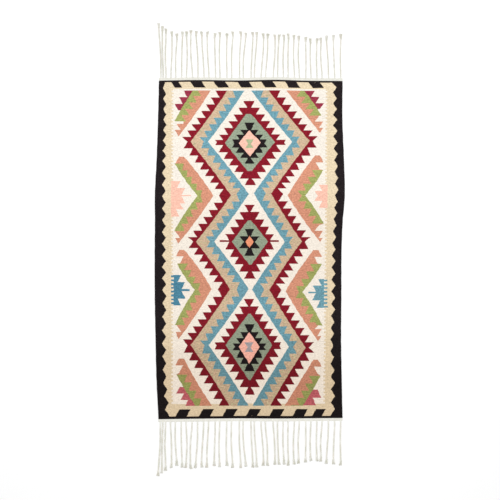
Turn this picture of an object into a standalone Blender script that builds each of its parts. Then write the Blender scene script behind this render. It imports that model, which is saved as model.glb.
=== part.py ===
"""A flat-woven kilim lying flat on the floor, with a knotted warp fringe at each end.

Metres, +Z up. X runs across the rug, +Y along its length, and the underside lies at z = 0.
The woven cloth is one slab with the uneven outline of hand weaving. Beyond each end lies a
fringe: a narrow white heading with the warp ends gathered into knotted strands.
"""

import math
import random

import bmesh
import bpy
import numpy as np

# The woven cloth
WOVEN_LENGTH = 1.500
CLOTH_THICKNESS = 0.003
CLOTH_EDGE_ROUND = 0.0008
SIDE_STEPS = 30
END_STEPS = 16

# How far each side edge stands from the centre line, down the length from the +Y end
SIDE_COLUMNS = ("share", "left", "right")
SIDE_STATIONS = (
    (0.000, 0.403, 0.412),
    (0.116, 0.407, 0.411),
    (0.234, 0.413, 0.418),
    (0.353, 0.421, 0.421),
    (0.412, 0.420, 0.413),
    (0.471, 0.421, 0.409),
    (0.650, 0.421, 0.407),
    (0.768, 0.418, 0.406),
    (0.887, 0.414, 0.409),
    (1.000, 0.405, 0.412),
)

# How far each end edge bulges past its nominal line, across the width from the left
END_COLUMNS = ("share", "far_end", "near_end")
END_STATIONS = (
    (0.00, -0.0004, 0.0027),
    (0.22, 0.0022, 0.0004),
    (0.44, 0.0004, -0.0013),
    (0.66, 0.0031, -0.0004),
    (0.77, 0.0000, -0.0013),
    (1.00, -0.0022, -0.0027),
)

# The fringe's heading: a narrow plain-woven strip beyond the cloth's last row
HEADING_WIDTH = 0.012
HEADING_THICKNESS = 0.003
HEADING_GAP = 0.0003

# The strands
STRAND_COUNT = 34
STRAND_WIDTH = 0.0070
STRAND_HEIGHT = 0.0060
STRAND_SEED = 6604
PAIR_SHIFT = 0.0020
ROOT_SCATTER = 0.0035
TIP_SCATTER = 0.0025
REACH_SCATTER = 0.0045
BOW_SCATTER = 0.0040
SHANK_CLEARANCE = 0.0012
TUFT_CLEARANCE = 0.0012
SHANK_SHARES = (0.04, 0.20, 0.40, 0.60, 0.80)

# How the roots spread over the width, from the first strand (strand 0) to the last (strand 1)
ROOT_COLUMNS = ("share", "root")
ROOT_STATIONS = (
    (0.00, 0.01),
    (0.06, 0.04),
    (0.12, 0.09),
    (0.18, 0.15),
    (0.24, 0.21),
    (0.33, 0.30),
    (0.45, 0.43),
    (0.54, 0.52),
    (0.72, 0.70),
    (0.88, 0.86),
    (1.00, 0.99),
)

# How far the strands' tips reach past the nominal end of the cloth, and how far they lean to +X
FRINGE_COLUMNS = ("share", "reach", "lean")
FRINGE_STATIONS = (
    (0.00, 0.257, -0.010),
    (0.03, 0.238, -0.001),
    (0.08, 0.217, 0.008),
    (0.18, 0.222, -0.006),
    (0.35, 0.215, -0.002),
    (0.46, 0.218, 0.010),
    (0.56, 0.211, 0.009),
    (0.70, 0.208, 0.001),
    (0.80, 0.194, -0.001),
    (0.87, 0.190, -0.003),
    (0.93, 0.201, -0.010),
    (1.00, 0.208, 0.004),
)

# A strand's sections near its tip: the neck behind the knot, the knot, and the tuft that flares
TIP_COLUMNS = ("from_tip", "width", "height")
TIP_SECTIONS = (
    (0.0260, 0.0068, 0.0054),
    (0.0235, 0.0098, 0.0080),
    (0.0175, 0.0100, 0.0080),
    (0.0150, 0.0064, 0.0050),
    (0.0050, 0.0108, 0.0040),
    (0.0000, 0.0116, 0.0026),
)

WOOL_BLACK = (0.016, 0.013, 0.015, 1.0)
COTTON_WHITE = (0.80, 0.77, 0.70, 1.0)
YARN_ROUGHNESS = 0.9


def column(stations, names, name):
    """One named column of a table of stations."""
    index = names.index(name)
    return np.array([row[index] for row in stations])


def smooth_value(stations, names, name, share):
    """A table's value at any share of the way along, on a smooth curve through its rows."""
    at = column(stations, names, "share")
    value = column(stations, names, name)
    slope = np.gradient(value, at)
    row = int(np.clip(np.searchsorted(at, share) - 1, 0, len(at) - 2))
    span = at[row + 1] - at[row]
    t = (share - at[row]) / span
    rise = value[row + 1] - value[row]
    start_pull = slope[row] * span - rise
    end_pull = rise - slope[row + 1] * span
    straight = value[row] + rise * t
    return float(straight + t * (1 - t) * ((1 - t) * start_pull + t * end_pull))


def side_x(side, share):
    """X of the left or right edge at a share of the length from the +Y end."""
    distance = smooth_value(SIDE_STATIONS, SIDE_COLUMNS, side, share)
    return -distance if side == "left" else distance


def end_span(end):
    """X of the two corners at the +Y end (end = 1) or the -Y end (end = -1)."""
    share = 0.0 if end > 0 else 1.0
    return side_x("left", share), side_x("right", share)


def end_y(end, share):
    """Y of the cloth's end edge at a share of the width from the left."""
    name = "far_end" if end > 0 else "near_end"
    return end * (WOVEN_LENGTH / 2 + smooth_value(END_STATIONS, END_COLUMNS, name, share))


def cloth_outline():
    """The cloth's outline as (x, y) points, anticlockwise seen from above."""
    points = []
    for step in range(END_STEPS):
        share = 1 - step / END_STEPS
        left, right = end_span(1)
        points.append((left + (right - left) * share, end_y(1, share)))
    points += side_points("left", 1)
    for step in range(END_STEPS):
        share = step / END_STEPS
        left, right = end_span(-1)
        points.append((left + (right - left) * share, end_y(-1, share)))
    points += side_points("right", -1)
    return points


def side_points(side, start_end):
    """The points of one side edge, from the +Y end (start_end = 1) or the -Y end, without its last."""
    corner_share = 0.0 if side == "left" else 1.0
    points = []
    for step in range(SIDE_STEPS):
        walked = step / SIDE_STEPS
        share = walked if start_end > 0 else 1 - walked
        far = end_y(1, corner_share)
        near = end_y(-1, corner_share)
        points.append((side_x(side, share), far + (near - far) * share))
    return points


def yarn_material(name, colour):
    """Plain matt yarn of one colour."""
    material = bpy.data.materials.new(name)
    material.use_nodes = True
    shader = material.node_tree.nodes["Principled BSDF"]
    shader.inputs["Base Color"].default_value = colour
    shader.inputs["Roughness"].default_value = YARN_ROUGHNESS
    shader.inputs["Metallic"].default_value = 0.0
    return material


def add_object(name, mesh_maker, material, parent):
    """Turns a bmesh into a named object under the rug's empty."""
    mesh = bpy.data.meshes.new(name)
    mesh_maker.normal_update()
    mesh_maker.to_mesh(mesh)
    mesh_maker.free()
    made = bpy.data.objects.new(name, mesh)
    made.data.materials.append(material)
    made.parent = parent
    bpy.context.scene.collection.objects.link(made)
    return made


def build_cloth(parent):
    """The woven slab, its selvedges and end edges a little rounded."""
    bm = bmesh.new()
    lower = [bm.verts.new((x, y, 0.0)) for x, y in cloth_outline()]
    underside = bm.faces.new(reversed(lower))
    raised = bmesh.ops.extrude_face_region(bm, geom=[underside])
    top = [item for item in raised["geom"] if isinstance(item, bmesh.types.BMVert)]
    bmesh.ops.translate(bm, verts=top, vec=(0, 0, CLOTH_THICKNESS))
    bmesh.ops.recalc_face_normals(bm, faces=bm.faces)
    cloth = add_object("kilim_cloth", bm, yarn_material("black_wool", WOOL_BLACK), parent)
    rounding = cloth.modifiers.new("edge_rounding", "BEVEL")
    rounding.width = CLOTH_EDGE_ROUND
    rounding.segments = 2
    rounding.limit_method = "ANGLE"
    rounding.angle_limit = math.radians(50)
    return cloth


def strand_roots(left, right):
    """X of each strand's root: in loose pairs, and crowded towards the left corner."""
    scatter = random.Random(STRAND_SEED)
    roots = []
    for index in range(STRAND_COUNT):
        u = index / (STRAND_COUNT - 1)
        share = smooth_value(ROOT_STATIONS, ROOT_COLUMNS, "root", u)
        paired = PAIR_SHIFT * (1 if index % 2 else -1)
        inside = min(1.0, 4 * u, 4 * (1 - u))
        moved = inside * (paired + scatter.uniform(-ROOT_SCATTER, ROOT_SCATTER))
        roots.append(left + (right - left) * share + moved)
    return roots


def spread_apart(places, clearance):
    """Keeps each strand's place at least its clearance to the right of the one before it."""
    kept = [places[0]]
    for place in places[1:]:
        kept.append(max(place, kept[-1] + clearance))
    overshoot = max(0.0, kept[-1] - places[-1])
    return [place - overshoot * n / (len(kept) - 1) for n, place in enumerate(kept)]


def strand_shapes(left, right):
    """For each strand: its root's X, its tip's X, its sideways bow and its reach."""
    scatter = random.Random(STRAND_SEED + 1)
    shank_pitch = STRAND_WIDTH + SHANK_CLEARANCE
    tuft_pitch = max(column(TIP_SECTIONS, TIP_COLUMNS, "width")) + TUFT_CLEARANCE
    roots = spread_apart(strand_roots(left, right), shank_pitch)
    tips, bows, reaches = [], [], []
    for root in roots:
        share = (root - left) / (right - left)
        lean = smooth_value(FRINGE_STATIONS, FRINGE_COLUMNS, "lean", share)
        reach = smooth_value(FRINGE_STATIONS, FRINGE_COLUMNS, "reach", share)
        tips.append(root + lean + scatter.uniform(-TIP_SCATTER, TIP_SCATTER))
        bows.append(scatter.uniform(-BOW_SCATTER, BOW_SCATTER))
        reaches.append(reach + scatter.uniform(-REACH_SCATTER, REACH_SCATTER))
    reaches[0] = FRINGE_STATIONS[0][1]
    tips = spread_apart(tips, tuft_pitch)
    straight = [(root + tip) / 2 for root, tip in zip(roots, tips)]
    middles = spread_apart([x + bow for x, bow in zip(straight, bows)], shank_pitch)
    bows = [middle - x for middle, x in zip(middles, straight)]
    return list(zip(roots, tips, bows, reaches))


def strand_centre(shape, root_y, tip_y, walked):
    """The strand's centre line at a share of the way from its root to its tip."""
    root, tip, bow, _ = shape
    eased = walked * walked * (3 - 2 * walked)
    x = root + (tip - root) * eased + bow * math.sin(math.pi * walked) ** 2
    return x, root_y + (tip_y - root_y) * walked


def strand_sections(length):
    """(share of the way to the tip, width, height) of each section after the root."""
    shank = [(share, STRAND_WIDTH, STRAND_HEIGHT) for share in SHANK_SHARES]
    tip = [(1 - back / length, width, height) for back, width, height in TIP_SECTIONS]
    return shank + tip


def add_strand(bm, root_ring, shape, end, root_y):
    """Extends a strand from its root ring on the heading: four flat sides, lying on z = 0."""
    tip_y = end * (WOVEN_LENGTH / 2 + shape[3])
    length = abs(tip_y - root_y)
    ring = root_ring
    for walked, width, height in strand_sections(length):
        x, y = strand_centre(shape, root_y, tip_y, walked)
        half = width / 2
        corners = ((x - half, 0.0), (x + half, 0.0), (x + half, height), (x - half, height))
        following = [bm.verts.new((corner_x, y, z)) for corner_x, z in corners]
        for n in range(4):
            bm.faces.new((ring[n], ring[(n + 1) % 4], following[(n + 1) % 4], following[n]))
        ring = following
    bm.faces.new(ring)


def build_fringe(name, end, parent):
    """A heading strip past one end of the cloth with the strands growing out of its outer side."""
    left, right = end_span(end)
    width = right - left
    shapes = strand_shapes(left, right)
    bm = bmesh.new()

    def pillar(x, offset):
        y = end_y(end, (x - left) / width) + end * offset
        return bm.verts.new((x, y, 0.0)), bm.verts.new((x, y, HEADING_THICKNESS))

    inner = [
        pillar(left + width * step / END_STEPS, HEADING_GAP) for step in range(END_STEPS + 1)
    ]
    outer_x = [left]
    for root, _, _, _ in shapes:
        outer_x += [root - STRAND_WIDTH / 2, root + STRAND_WIDTH / 2]
    outer = [pillar(x, HEADING_GAP + HEADING_WIDTH) for x in outer_x + [right]]

    for wall in (inner, outer):
        for n in range(len(wall) - 1):
            is_root = wall is outer and n % 2 == 1
            if not is_root:
                near, far = wall[n], wall[n + 1]
                bm.faces.new((near[0], far[0], far[1], near[1]))
    for near, far in ((inner[0], outer[0]), (inner[-1], outer[-1])):
        bm.faces.new((near[0], far[0], far[1], near[1]))
    for level in (0, 1):
        bm.faces.new([p[level] for p in inner] + [p[level] for p in reversed(outer)])

    for n, shape in enumerate(shapes):
        low_left, high_left = outer[2 * n + 1]
        low_right, high_right = outer[2 * n + 2]
        root_y = (low_left.co.y + low_right.co.y) / 2
        add_strand(bm, [low_left, low_right, high_right, high_left], shape, end, root_y)
    bmesh.ops.recalc_face_normals(bm, faces=bm.faces)
    return add_object(name, bm, yarn_material("fringe_cotton", COTTON_WHITE), parent)


def main():
    for old in list(bpy.data.objects):
        bpy.data.objects.remove(old)
    rug = bpy.data.objects.new("kilim", None)
    bpy.context.scene.collection.objects.link(rug)
    build_cloth(rug)
    build_fringe("fringe_far", 1, rug)
    build_fringe("fringe_near", -1, rug)


main()
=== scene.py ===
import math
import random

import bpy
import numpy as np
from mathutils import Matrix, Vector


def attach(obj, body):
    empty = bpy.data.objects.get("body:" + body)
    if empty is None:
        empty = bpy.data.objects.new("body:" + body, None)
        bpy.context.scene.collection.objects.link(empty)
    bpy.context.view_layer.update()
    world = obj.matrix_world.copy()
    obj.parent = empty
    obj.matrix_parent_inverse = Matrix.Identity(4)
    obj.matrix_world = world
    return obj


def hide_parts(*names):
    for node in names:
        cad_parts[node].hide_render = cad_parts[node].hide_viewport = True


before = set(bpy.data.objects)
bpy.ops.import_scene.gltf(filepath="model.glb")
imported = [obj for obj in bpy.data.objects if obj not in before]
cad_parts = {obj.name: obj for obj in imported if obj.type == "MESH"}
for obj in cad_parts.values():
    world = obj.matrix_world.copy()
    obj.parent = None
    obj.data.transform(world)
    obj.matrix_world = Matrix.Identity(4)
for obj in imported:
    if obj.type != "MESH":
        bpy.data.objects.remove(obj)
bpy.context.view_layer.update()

# %% [markdown]
# # A hand-woven kilim with a knotted fringe
#
# A kilim is a rug without pile. Coloured weft yarns are packed down so tightly that they hide
# the warps, and the warps show only as fine ribs along the rug and as the fringe at its ends.
# The frame loaded above holds three plain solids at their true size: the cloth and two fringes.
# This lesson replaces each one with a detailed piece of the same size in the same place.
#
# One way to show the pattern is a picture laid over a flat sheet. It blurs close up and it says
# nothing about how the rug is made. Here the cloth is woven instead: a chart in centimetres
# gives the pattern, and the mesh is built rib by rib, each rib changing yarn where the chart
# says so. The steps along every slanting edge then come by themselves, as on a loom.

CM = 0.01
MM = 0.001
print("nodes in the frame:", sorted(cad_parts))


def add_object(name, data):
    """A new object in the scene, which shows one mesh, lamp or camera."""
    item = bpy.data.objects.new(name, data)
    bpy.context.scene.collection.objects.link(item)
    return item


def triangle_count(mesh):
    """How many triangles the faces of a mesh make."""
    return sum(len(face.vertices) - 2 for face in mesh.polygons)



# %% [markdown]
# ## The outline
#
# No hand-woven rug is a true rectangle. The weaver's tension drifts, so the sides swell where
# the weft lies loose and pull in where it is tight. A short table of stations, with a smooth
# curve through its rows, gives each side and each end. The same tables shaped the solids, so
# what is built here lies exactly on them.

# %% The outline of the woven cloth, in metres
WOVEN_LENGTH = 1.500
SIDE_COLUMNS = ("share", "left", "right")
SIDE_STATIONS = (
    (0.000, 0.403, 0.412),
    (0.116, 0.407, 0.411),
    (0.234, 0.413, 0.418),
    (0.353, 0.421, 0.421),
    (0.412, 0.420, 0.413),
    (0.471, 0.421, 0.409),
    (0.650, 0.421, 0.407),
    (0.768, 0.418, 0.406),
    (0.887, 0.414, 0.409),
    (1.000, 0.405, 0.412),
)
END_COLUMNS = ("share", "far_end", "near_end")
END_STATIONS = (
    (0.00, -0.0004, 0.0027),
    (0.22, 0.0022, 0.0004),
    (0.44, 0.0004, -0.0013),
    (0.66, 0.0031, -0.0004),
    (0.77, 0.0000, -0.0013),
    (1.00, -0.0022, -0.0027),
)


def column(stations, names, name):
    """One named column of a table of stations."""
    return np.array([row[names.index(name)] for row in stations])


def smooth_value(stations, names, name, share):
    """A table's value at any share of the way along, on a smooth curve through its rows."""
    at = column(stations, names, "share")
    value = column(stations, names, name)
    slope = np.gradient(value, at)
    row = np.clip(np.searchsorted(at, share) - 1, 0, len(at) - 2)
    span = at[row + 1] - at[row]
    t = (share - at[row]) / span
    rise = value[row + 1] - value[row]
    start_pull = slope[row] * span - rise
    end_pull = rise - slope[row + 1] * span
    return value[row] + rise * t + t * (1 - t) * ((1 - t) * start_pull + t * end_pull)


def side_x(side, y):
    """X of the left or right edge at any y along the rug."""
    share = np.clip(0.5 - np.asarray(y) / WOVEN_LENGTH, 0, 1)
    distance = smooth_value(SIDE_STATIONS, SIDE_COLUMNS, side, share)
    return -distance if side == "left" else distance


def end_bulge(end, share):
    """How far the edge at the +Y end (end = 1) or -Y end (end = -1) passes its nominal line."""
    name = "far_end" if end > 0 else "near_end"
    return smooth_value(END_STATIONS, END_COLUMNS, name, share)


print("width at the far end, middle and near end:",
      [round(float(side_x("right", y) - side_x("left", y)), 3) for y in (0.75, 0.0, -0.75)])

# %% [markdown]
# ## The chart
#
# A tapestry weaver keeps a chart: flat shapes with a yarn named on each. The chart here is a
# list of outlines in centimetres from the rug's middle, laid one over another like cut paper,
# so that the last one laid is the one seen. Almost everything in it is one of two forms. One
# is a band with saw teeth, whose teeth have one slanted side and one side along the weft. The
# other is a stepped figure, which grows tier by tier towards its middle. Both come from a few
# sizes: where the corners are, how many teeth fit between them, and how far a tooth stands out.

# %% The chart as a list of shapes
chart = []


def lay(yarn, outline, in_field=True):
    """Lays one shape on the chart. A shape in the field is cut off at the field's two ends."""
    chart.append((yarn, np.array(outline, dtype=float), in_field))


# %% Borders: a black ground, cream zigzags down the sides and slanting blocks at the ends
TOOTH_COUNT = 28
LEFT_TOOTH_STATIONS = ((0, 71.5), (7, 39.3), (14, 2.6), (18, -17.9), (22, -41.7), (27, -70.8))
RIGHT_TOOTH_STATIONS = ((0, 72.1), (4, 52.7), (12, 10.9), (20, -32.1), (23, -47.7), (27, -70.8))

ZIGZAG_COLUMNS = ("y", "cream_tip", "black_tip")
LEFT_ZIGZAG = (
    (-70.8, -37.5, -35.6), (-59.2, -38.4, -36.9), (-40.1, -38.9, -37.1), (-22.4, -38.7, -36.9),
    (-2.8, -38.9, -37.2), (33.1, -38.9, -37.2), (55.3, -38.3, -36.9), (71.7, -38.5, -37.0),
)
RIGHT_ZIGZAG = (
    (-70.8, 37.8, 35.9), (-59.7, 37.8, 36.1), (-42.4, 37.1, 35.7), (-26.4, 37.9, 36.1),
    (0.7, 38.0, 36.5), (16.5, 38.8, 37.3), (26.5, 39.4, 37.8), (42.0, 39.0, 37.4),
    (52.7, 38.8, 37.0), (70.9, 38.5, 37.0),
)
BORDER_FAR = 74.3
BORDER_NEAR = -73.9
LEFT_LINE_ENDS = (-37.4, -35.5)
RIGHT_LINE_ENDS = (36.5, 35.7)
# The black ground reaches past the cloth on every side
GROUND_X = 50
GROUND_Y = 80


def zigzag_line(tooth_stations, zigzag, far_x, near_x):
    """The line between black and cream down one side, from the far end to the near end."""
    numbers, heights = zip(*tooth_stations)
    tips = np.interp(range(TOOTH_COUNT), numbers, heights)
    at = column(zigzag, ZIGZAG_COLUMNS, "y")
    line = [(far_x, BORDER_FAR)]
    for y, next_y in zip(tips, list(tips[1:]) + [None]):
        line.append((np.interp(y, at, column(zigzag, ZIGZAG_COLUMNS, "cream_tip")), y))
        if next_y is not None:
            between = (y + next_y) / 2
            black = np.interp(between, at, column(zigzag, ZIGZAG_COLUMNS, "black_tip"))
            line.append((black, between))
    return line + [(near_x, BORDER_NEAR)]


left_line = zigzag_line(LEFT_TOOTH_STATIONS, LEFT_ZIGZAG, *LEFT_LINE_ENDS)
right_line = zigzag_line(RIGHT_TOOTH_STATIONS, RIGHT_ZIGZAG, *RIGHT_LINE_ENDS)
lay("black", [(-GROUND_X, GROUND_Y), (GROUND_X, GROUND_Y),
              (GROUND_X, -GROUND_Y), (-GROUND_X, -GROUND_Y)], in_field=False)
lay("cream", left_line + right_line[::-1], in_field=False)

BLOCK_FAR = (BORDER_FAR, 71.8)
BLOCK_NEAR = (-70.8, BORDER_NEAR)
# Blocks that are alike: their rows, the first one's place, the pitch, how many, width and lean
END_BLOCKS = (
    (BLOCK_FAR, -34.9, 0.0, 1, 3.3, 1.7),
    (BLOCK_FAR, -26.4, 10.5, 6, 5.1, 1.8),
    (BLOCK_NEAR, -31.2, 10.4, 6, 5.0, -1.7),
    (BLOCK_NEAR, 29.4, 0.0, 1, 4.4, -1.7),
)


def slanting_block(x, width, lean, rows):
    """One black block of an end border, leaning sideways by lean from its upper row down."""
    upper, lower = rows
    lay("black", [(x, upper), (x + width, upper), (x + width + lean, lower), (x + lean, lower)],
        in_field=False)


for block_rows, first, pitch, count, width, lean in END_BLOCKS:
    for number in range(count):
        slanting_block(first + pitch * number, width, lean, block_rows)

# %% The ivory field, dovetailed into the cream
IVORY_FAR = 71.3
IVORY_NEAR = -70.1
FIELD_FAR = 70.5
FIELD_NEAR = -69.35
DOVETAIL_PITCHES = (1.56, 1.82)
DOVETAIL_DEPTH = 0.7
LEFT_DOVETAIL = (-34.3, -34.4, -34.4)
RIGHT_DOVETAIL = (34.1, 33.7, 33.0)


def dovetail_line(far_x, middle_x, near_x, outward):
    """A fine comb where ivory and cream turn round the same warps by turns."""
    line = []
    y = IVORY_FAR
    while y > IVORY_NEAR + DOVETAIL_PITCHES[1]:
        x = float(np.interp(y, (IVORY_NEAR, 0, IVORY_FAR), (near_x, middle_x, far_x)))
        pitch = float(np.interp(y, (IVORY_NEAR, IVORY_FAR), DOVETAIL_PITCHES[::-1]))
        inner = x - outward * DOVETAIL_DEPTH / 2
        outer = x + outward * DOVETAIL_DEPTH / 2
        line += [(inner, y), (inner, y - pitch / 2), (outer, y - pitch / 2), (outer, y - pitch)]
        y -= pitch
    return line


left_comb = dovetail_line(*LEFT_DOVETAIL, -1)
right_comb = dovetail_line(*RIGHT_DOVETAIL, 1)
lay("ivory", left_comb + right_comb[::-1], in_field=False)
print("shapes in the borders:", len(chart))

# %% [markdown]
# ### Bands with saw teeth
#
# Each leg of a band has a plain edge and a toothed edge. At one end of the leg, the tip corner,
# a tooth stands at its full reach. From there each tooth runs back along a slant to the band's
# waist, and then straight out along the weft to the next tooth. At the other end, the neck
# corner, the band is at its narrowest. Two legs that meet at a tip corner share one big tooth.
#
# A weaver works such a leg by eye, so it is never quite even. Ease bunches its teeth towards one
# end, and bow bends the whole leg a few millimetres towards its plain side.

# %% A band with saw teeth
SMALLEST_TOOTH = 0.3
BOW_SHARES = (0.2, 0.4, 0.6, 0.8)
BAND_BOW = 0.35


def bowed_edge(start, end, bow, shares):
    """Places along an edge from start to end whose middle is pushed sideways by bow."""
    start, end = np.array(start, dtype=float), np.array(end, dtype=float)
    return [start + (end - start) * share + (4 * bow * share * (1 - share), 0) for share in shares]


def toothed_leg(tip, neck, teeth, reach, waist, ease=0.0, bow=0.0):
    """The outline of one leg. Reach and waist are measured from the plain edge, + to the right."""
    sideways = -math.copysign(bow, reach)
    counted = [tooth / teeth for tooth in range(1, math.ceil(teeth - SMALLEST_TOOTH))]
    shares = [share + ease * share * (1 - share) for share in counted]
    outline = [tip, (tip[0] + reach, tip[1])]
    for place in bowed_edge(tip, neck, sideways, shares):
        outline += [place + (waist, 0), place + (reach, 0)]
    plain_edge = bowed_edge(neck, tip, sideways, BOW_SHARES)
    return outline + [(neck[0] + waist, neck[1]), neck] + plain_edge


def toothed_zigzag(yarn, corners, reach, waist):
    """A zigzag band. Each row of corners is (x, y, teeth, ease) of a corner and the leg below."""
    for upper, lower in zip(corners, corners[1:]):
        # The tip corner is the one that points away from the teeth.
        tip, neck = sorted((upper[:2], lower[:2]), key=lambda corner: corner[0] * reach)
        lay(yarn, toothed_leg(tip, neck, upper[2], reach, waist, upper[3], BAND_BOW))


# %% The two double zigzags: maroon outside, tan between, blue inside
LEFT_MAROON = (
    (-9.9, 70.6, 7.84, 0.08), (-26.3, 47.8, 7.9, -0.09), (-8.3, 24.1, 6.75, 0.09),
    (-23.8, 3.5, 6.92, 0.0), (-8.7, -17.5, 7.92, 0.14), (-26.2, -42.4, 7.99, 0.0),
    (-8.7, -69.7, 0, 0.0),
)
LEFT_BLUE = (
    (-2.3, 70.6, 7.75, 0.06), (-18.5, 47.8, 7.82, -0.18), (-0.4, 24.7, 6.83, 0.10),
    (-15.8, 3.5, 6.82, 0.0), (-0.4, -17.5, 7.68, 0.06), (-18.2, -42.4, 8.05, -0.05),
    (-0.4, -69.5, 0, 0.0),
)
RIGHT_MAROON = (
    (8.3, 70.6, 7.85, 0.13), (26.6, 48.2, 7.81, -0.26), (9.5, 24.8, 6.65, 0.05),
    (23.1, 3.6, 6.98, -0.15), (8.7, -17.8, 7.77, 0.06), (24.8, -43.5, 7.6, -0.11),
    (9.0, -69.4, 0, 0.0),
)
RIGHT_BLUE = (
    (0.6, 70.6, 7.92, 0.10), (18.9, 47.8, 7.74, -0.20), (1.8, 25.0, 6.75, 0.04),
    (15.6, 3.4, 6.88, -0.10), (1.0, -17.7, 7.81, 0.0), (17.4, -43.2, 7.81, -0.09),
    (1.2, -69.4, 0, 0.0),
)
BAND_REACH = 5.4
MAROON_WAIST = 1.4
BLUE_WAIST = 1.9

for maroon, blue, outward in ((LEFT_MAROON, LEFT_BLUE, -1), (RIGHT_MAROON, RIGHT_BLUE, 1)):
    between = [corner[:2] for corner in maroon] + [corner[:2] for corner in reversed(blue)]
    lay("tan", between)
    toothed_zigzag("maroon", maroon, outward * BAND_REACH, outward * MAROON_WAIST)
    toothed_zigzag("blue", blue, outward * BAND_REACH, outward * BLUE_WAIST)

# %% Raspberry figures in the four corners
# Each figure's tip, neck, number of teeth, reach and waist
CORNER_FIGURES = (
    ((-24.0, 70.6), (-29.9, 61.8), 2.96, -5.4, -1.8),
    ((23.0, 70.6), (29.0, 62.4), 2.95, 6.0, 2.2),
    ((-22.8, -69.7), (-28.4, -61.0), 3.0, -6.1, -2.7),
    ((22.6, -69.2), (27.0, -62.1), 2.05, 6.9, 3.2),
)
for number, figure in enumerate(CORNER_FIGURES):
    lay("raspberry" if number < 2 else "faded_raspberry", toothed_leg(*figure))

# %% [markdown]
# ### Chevrons
#
# Four half chevrons and four whole ones point inwards from the sides. A salmon leg carries a
# green toothed band along its border side, and its loose end is cut into one to three steps.
# A leg above its apex and a leg below it end differently, so each kind has its own table. The
# salmon's inner edge bows a little towards the rug's middle, and the green bows the other way.

# %% Chevron legs in salmon and green
GREEN_WAIST = 1.5
GREEN_BOW = 0.5
CAP_SLANT = 1.6
CAP_DROP = 3.05
CAP_RETURN = 3.45
STEP_SLANT = 1.9

# side is -1 at the left border and 1 at the right. All places are (x, y) in centimetres.
UPPER_COLUMNS = ("side", "apex", "vertex", "top_y", "top_inner", "top_outer", "green_end",
                 "teeth", "reach", "cap_teeth", "bow")
UPPER_LEGS = (
    (-1, (-16.1, 24.0), (-23.2, 23.9), 41.3, -29.2, -31.4, (-33.3, 38.2), 4.8, 4.0, 1, 0.5),
    (1, (16.8, 24.0), (24.6, 24.0), 41.8, 29.0, 31.2, (32.7, 35.3), 3.7, 5.2, 2, 0.5),
    (-1, (-16.9, -17.5), (-24.4, -17.9), 0.0, -29.2, -31.2, (-32.3, -6.2), 4.0, 4.9, 2, 0.8),
    (1, (15.9, -18.4), (23.4, -18.8), -0.2, 28.3, 30.5, (32.0, -6.4), 3.8, 5.1, 2, 0.5),
    (-1, (-14.1, -73.0), (-21.4, -73.0), -48.3, -29.2, -31.4, (-32.5, -55.5), 5.0, 4.8, 2, -0.7),
    (1, (13.2, -73.0), (20.8, -73.0), -48.8, 28.3, 30.3, (31.4, -56.1), 5.2, 5.1, 2, 0.0),
)
LOWER_COLUMNS = ("side", "apex", "vertex", "tip", "green_end", "teeth", "reach",
                 "first_step", "step_edge", "step_rows", "bow")
LOWER_LEGS = (
    (-1, (-16.1, 72.5), (-23.2, 73.1), (-31.6, 50.2), (-33.4, 56.9), 5.76, 5.1,
     (-32.5, 55.8), -33.2, (53.1,), 0.5),
    (1, (14.8, 72.4), (22.6, 72.4), (31.2, 51.8), (31.8, 59.5), 4.68, 5.6,
     (30.8, 59.3), 32.6, (56.8, 54.0), 0.0),
    (-1, (-16.1, 24.0), (-23.2, 23.9), (-31.7, 2.7), (-33.5, 8.3), 4.95, 4.6,
     (-32.9, 8.0), -33.2, (5.2,), 0.5),
    (1, (16.8, 24.0), (24.6, 24.0), (31.2, 3.4), (32.8, 11.6), 3.8, 5.1,
     (30.8, 10.9), 32.5, (8.4, 5.2), 0.5),
    (-1, (-16.9, -17.5), (-24.4, -17.9), (-31.6, -39.9), (-33.2, -33.5), 4.73, 4.6,
     (-32.3, -33.6), -32.9, (-36.6,), 0.5),
    (1, (15.9, -18.4), (23.4, -18.8), (30.4, -40.6), (31.5, -32.2), 3.76, 5.1,
     (30.7, -33.6), 31.9, (-35.2, -38.3), 0.5),
)


def upper_cap(side, corner, teeth):
    """The stepped loose end of a leg above its apex, going down: slant out, return, slant out."""
    x, y = corner
    points = [corner]
    for tooth in range(teeth):
        x, y = x + side * CAP_SLANT, y - CAP_DROP
        points.append((x, y))
        if tooth < teeth - 1:
            x -= side * CAP_RETURN
            points.append((x, y))
    return points


def lower_cap(side, start, edge, rows):
    """The stepped loose end of a leg below its apex, going down: slant in, step out, slant in."""
    x = start[0]
    points = [start]
    for y in rows:
        points += [(x - side * STEP_SLANT, y), (edge, y)]
        x = edge
    return points


def salmon_edge(leg, loose_end):
    """The salmon's inner edge, from its loose end to its apex."""
    bow = -leg["side"] * leg["bow"]
    return [loose_end] + bowed_edge(loose_end, leg["apex"], bow, BOW_SHARES) + [leg["apex"]]


def green_band(leg):
    """The green band along the border side of a leg."""
    inward = -leg["side"]
    lay("green", toothed_leg(leg["green_end"], leg["vertex"], leg["teeth"],
                             inward * leg["reach"], inward * GREEN_WAIST, bow=GREEN_BOW))


for row in UPPER_LEGS:
    leg = dict(zip(UPPER_COLUMNS, row))
    outer, inner = (leg["top_outer"], leg["top_y"]), (leg["top_inner"], leg["top_y"])
    cap = upper_cap(leg["side"], outer, leg["cap_teeth"])
    lay("salmon", salmon_edge(leg, inner) + [leg["vertex"], leg["green_end"]] + cap[::-1])
    green_band(leg)
for row in LOWER_LEGS:
    leg = dict(zip(LOWER_COLUMNS, row))
    cap = lower_cap(leg["side"], leg["first_step"], leg["step_edge"], leg["step_rows"])
    lay("salmon", salmon_edge(leg, leg["tip"]) + [leg["vertex"], leg["green_end"]] + cap)
    green_band(leg)
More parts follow.
